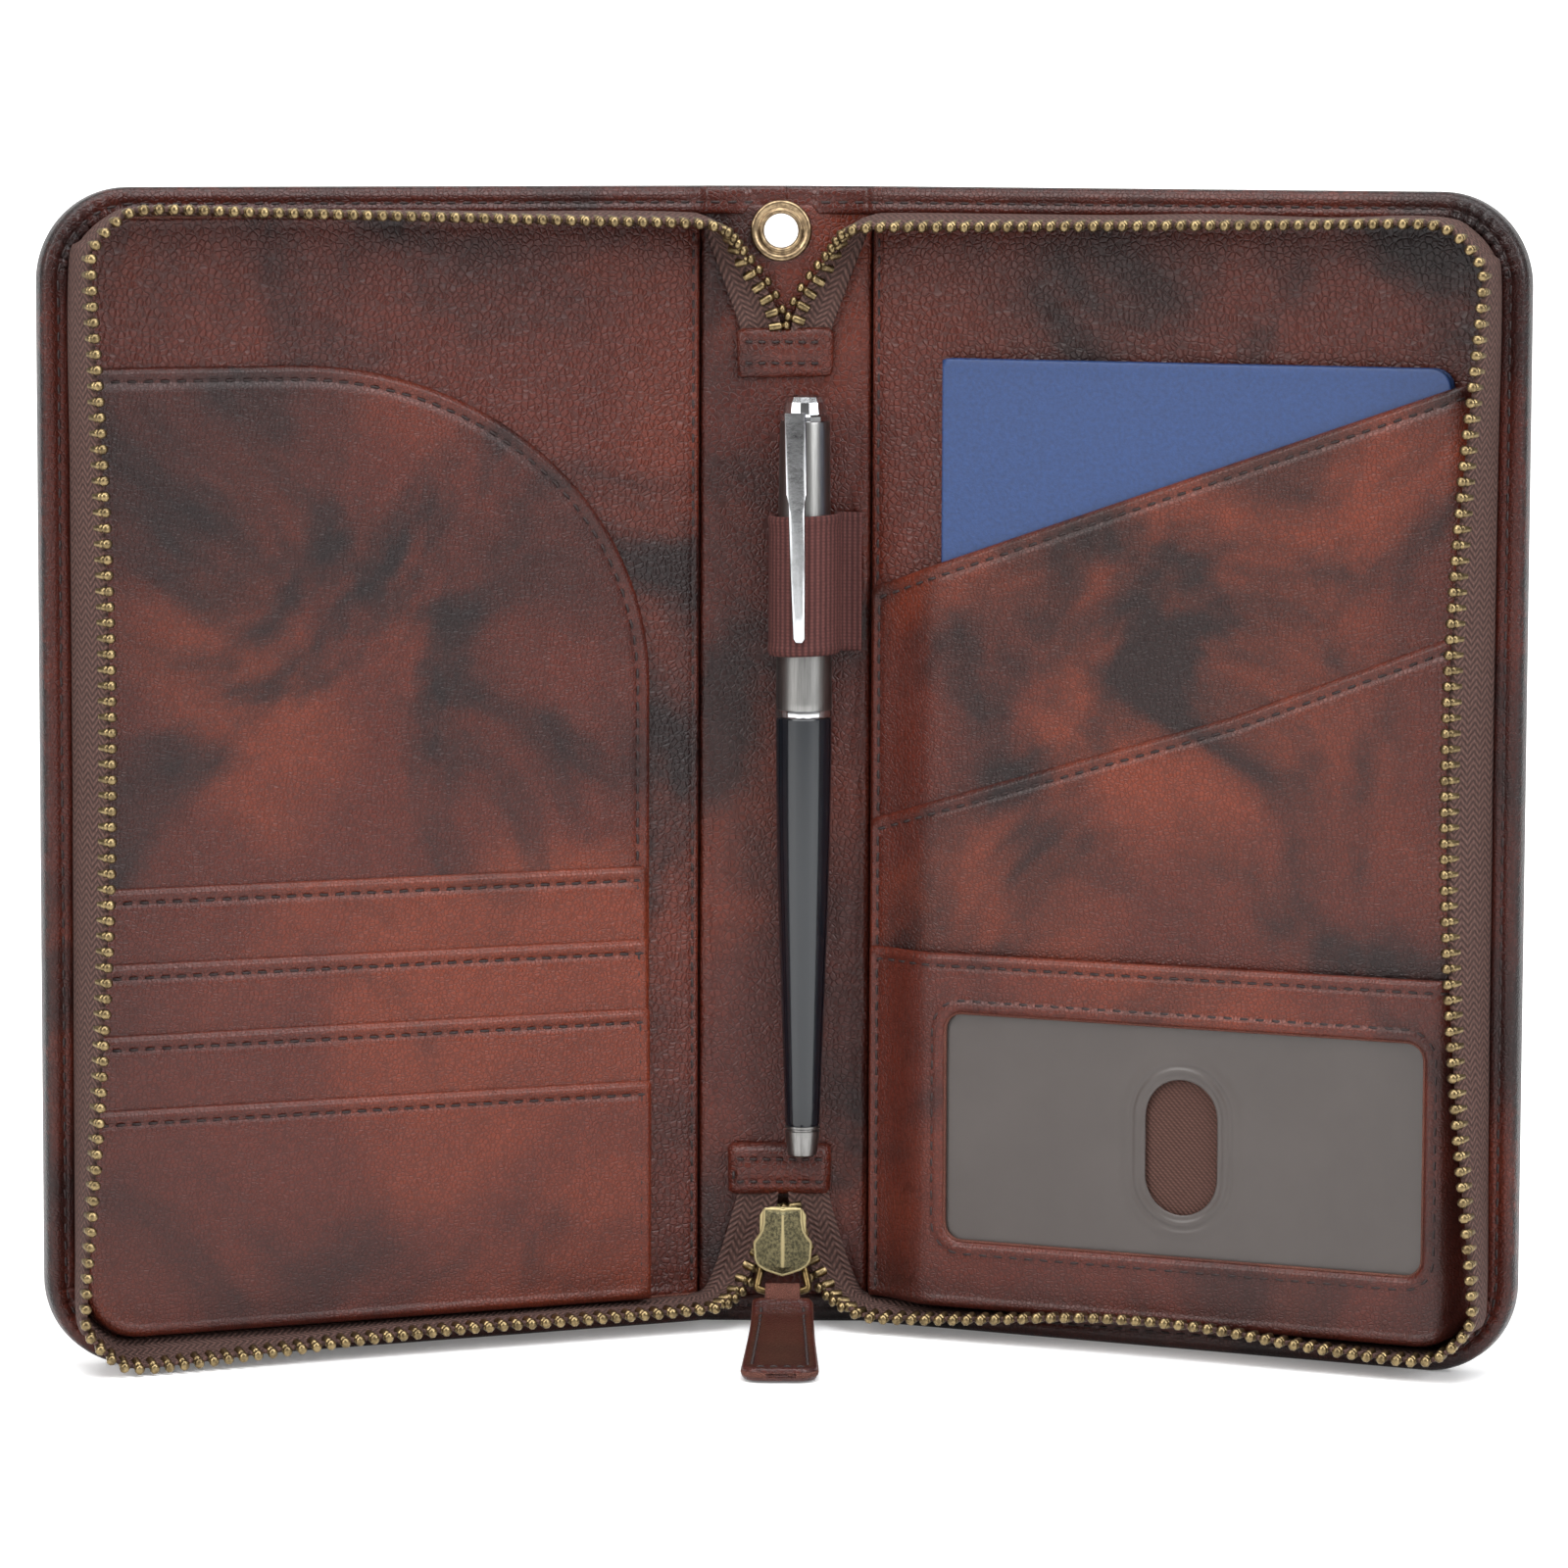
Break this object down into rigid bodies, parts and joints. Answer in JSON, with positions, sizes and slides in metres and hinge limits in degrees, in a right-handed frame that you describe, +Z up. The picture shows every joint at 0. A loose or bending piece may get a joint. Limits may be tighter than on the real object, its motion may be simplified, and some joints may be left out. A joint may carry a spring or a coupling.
{
  "type": "travel document organizer",
  "caption": "Leather travel wallet with two folding covers, zip all round, slip, card and passport pockets, card window, pen loop, strap eyelet, pen and passport.",
  "frame": {"origin": "centre of the bounding box, on the surface the organizer stands on", "axes": "+Z up along the spine, +X to the right of someone facing the open inside, the inside looks along -Y"},
  "size_m": [0.2386, 0.0594, 0.19],
  "materials": {
    "outer_leather": "glossy brush-off red-brown leather",
    "lining_leather": "glossy dark red-brown grained leather",
    "pocket_leather": "glossy smoother red-brown leather",
    "pull_leather": "dark brown leather with raw edges",
    "board": "grey-brown fibre board",
    "zip_tape": "dark brown herringbone woven tape",
    "zip_brass": "antique brass",
    "slider_brass": "antique brass, worn bright at the edges",
    "link_brass": "antique brass wire",
    "eyelet_brass": "antique brass, dark in the roll",
    "elastic": "ribbed brown elastic",
    "twill_backing": "brown-grey twill",
    "window_film": "slightly cloudy clear vinyl",
    "pen_lacquer": "glossy blue-black lacquer",
    "pen_steel": "brushed steel",
    "pen_chrome": "polished chrome",
    "passport_cover": "dark blue pebbled book cloth",
    "passport_pages": "cream page edges"
  },
  "bodies": {
    "spine": {"spine_outer_leather": "outer_leather", "spine_stiffener": "board", "spine_inner_leather": "lining_leather", "left_fold": "outer_leather", "right_fold": "outer_leather", "eyelet": "eyelet_brass", "eyelet_washer": "eyelet_brass", "top_tab": "lining_leather", "bottom_tab": "lining_leather", "top_end_tape": "zip_tape", "bottom_end_tape": "zip_tape", "top_end_teeth": "zip_brass", "bottom_end_teeth": "zip_brass", "pen_loop": "elastic"},
    "left_cover": {"left_outer_leather": "outer_leather", "left_board": "board", "left_rim": "outer_leather", "left_lining": "lining_leather", "left_slip_pocket": "pocket_leather", "card_slot_1": "pocket_leather", "card_slot_2": "pocket_leather", "card_slot_3": "pocket_leather", "card_slot_4": "pocket_leather", "left_zip_tape": "zip_tape", "left_zip_teeth": "zip_brass"},
    "right_cover": {"right_outer_leather": "outer_leather", "right_board": "board", "right_rim": "outer_leather", "right_lining": "lining_leather", "passport_pocket": "pocket_leather", "slant_pocket": "pocket_leather", "id_pocket_frame": "pocket_leather", "id_window_film": "window_film", "id_window_backing": "twill_backing", "right_zip_tape": "zip_tape", "right_zip_teeth": "zip_brass"},
    "slider": {"slider_body": "slider_brass", "slider_cap": "slider_brass"},
    "pull_link": {"pull_link": "link_brass"},
    "pull_tab": {"pull_tab": "pull_leather"},
    "pen_barrel": {"pen_barrel": "pen_lacquer", "pen_tail": "pen_steel", "pen_nib": "pen_steel"},
    "pen_cap": {"pen_cap": "pen_steel", "pen_cap_band": "pen_chrome", "pen_cap_jewel": "pen_chrome", "pen_clip": "pen_chrome"},
    "passport": {"passport_cover": "passport_cover", "passport_pages": "passport_pages"}
  },
  "joints": [
    {"name": "left_cover_fold", "type": "hinge", "parent": "spine", "child": "left_cover", "pos_m": [-0.0145, 0.02765, 0], "axis": [0, 0, 1], "range_deg": [-24, 66]},
    {"name": "right_cover_fold", "type": "hinge", "parent": "spine", "child": "right_cover", "pos_m": [0.0145, 0.02765, 0], "axis": [0, 0, -1], "range_deg": [-24, 66]},
    {"name": "slider_travel", "type": "slide", "parent": "spine", "child": "slider", "axis": [0, 0, -1], "range_m": [0, 0.005]},
    {"name": "pull_link_swing", "type": "hinge", "parent": "slider", "child": "pull_link", "pos_m": [0, 0.0214, 0.0124], "axis": [1, 0, 0], "range_deg": [0, 18]},
    {"name": "pull_tab_swing", "type": "hinge", "parent": "pull_link", "child": "pull_tab", "pos_m": [0, 0.01875, 0.0062], "axis": [1, 0, 0], "range_deg": [0, 80]},
    {"name": "pen_lift", "type": "slide", "parent": "spine", "child": "pen_barrel", "axis": [0, 0, 1], "range_m": [0, 0.008]},
    {"name": "cap_pull", "type": "slide", "parent": "pen_barrel", "child": "pen_cap", "axis": [0, 0, 1], "range_m": [0, 0.017]},
    {"name": "passport_lift", "type": "slide", "parent": "right_cover", "child": "passport", "axis": [0, 0, 1], "range_m": [0, 0.02]}
  ]
}
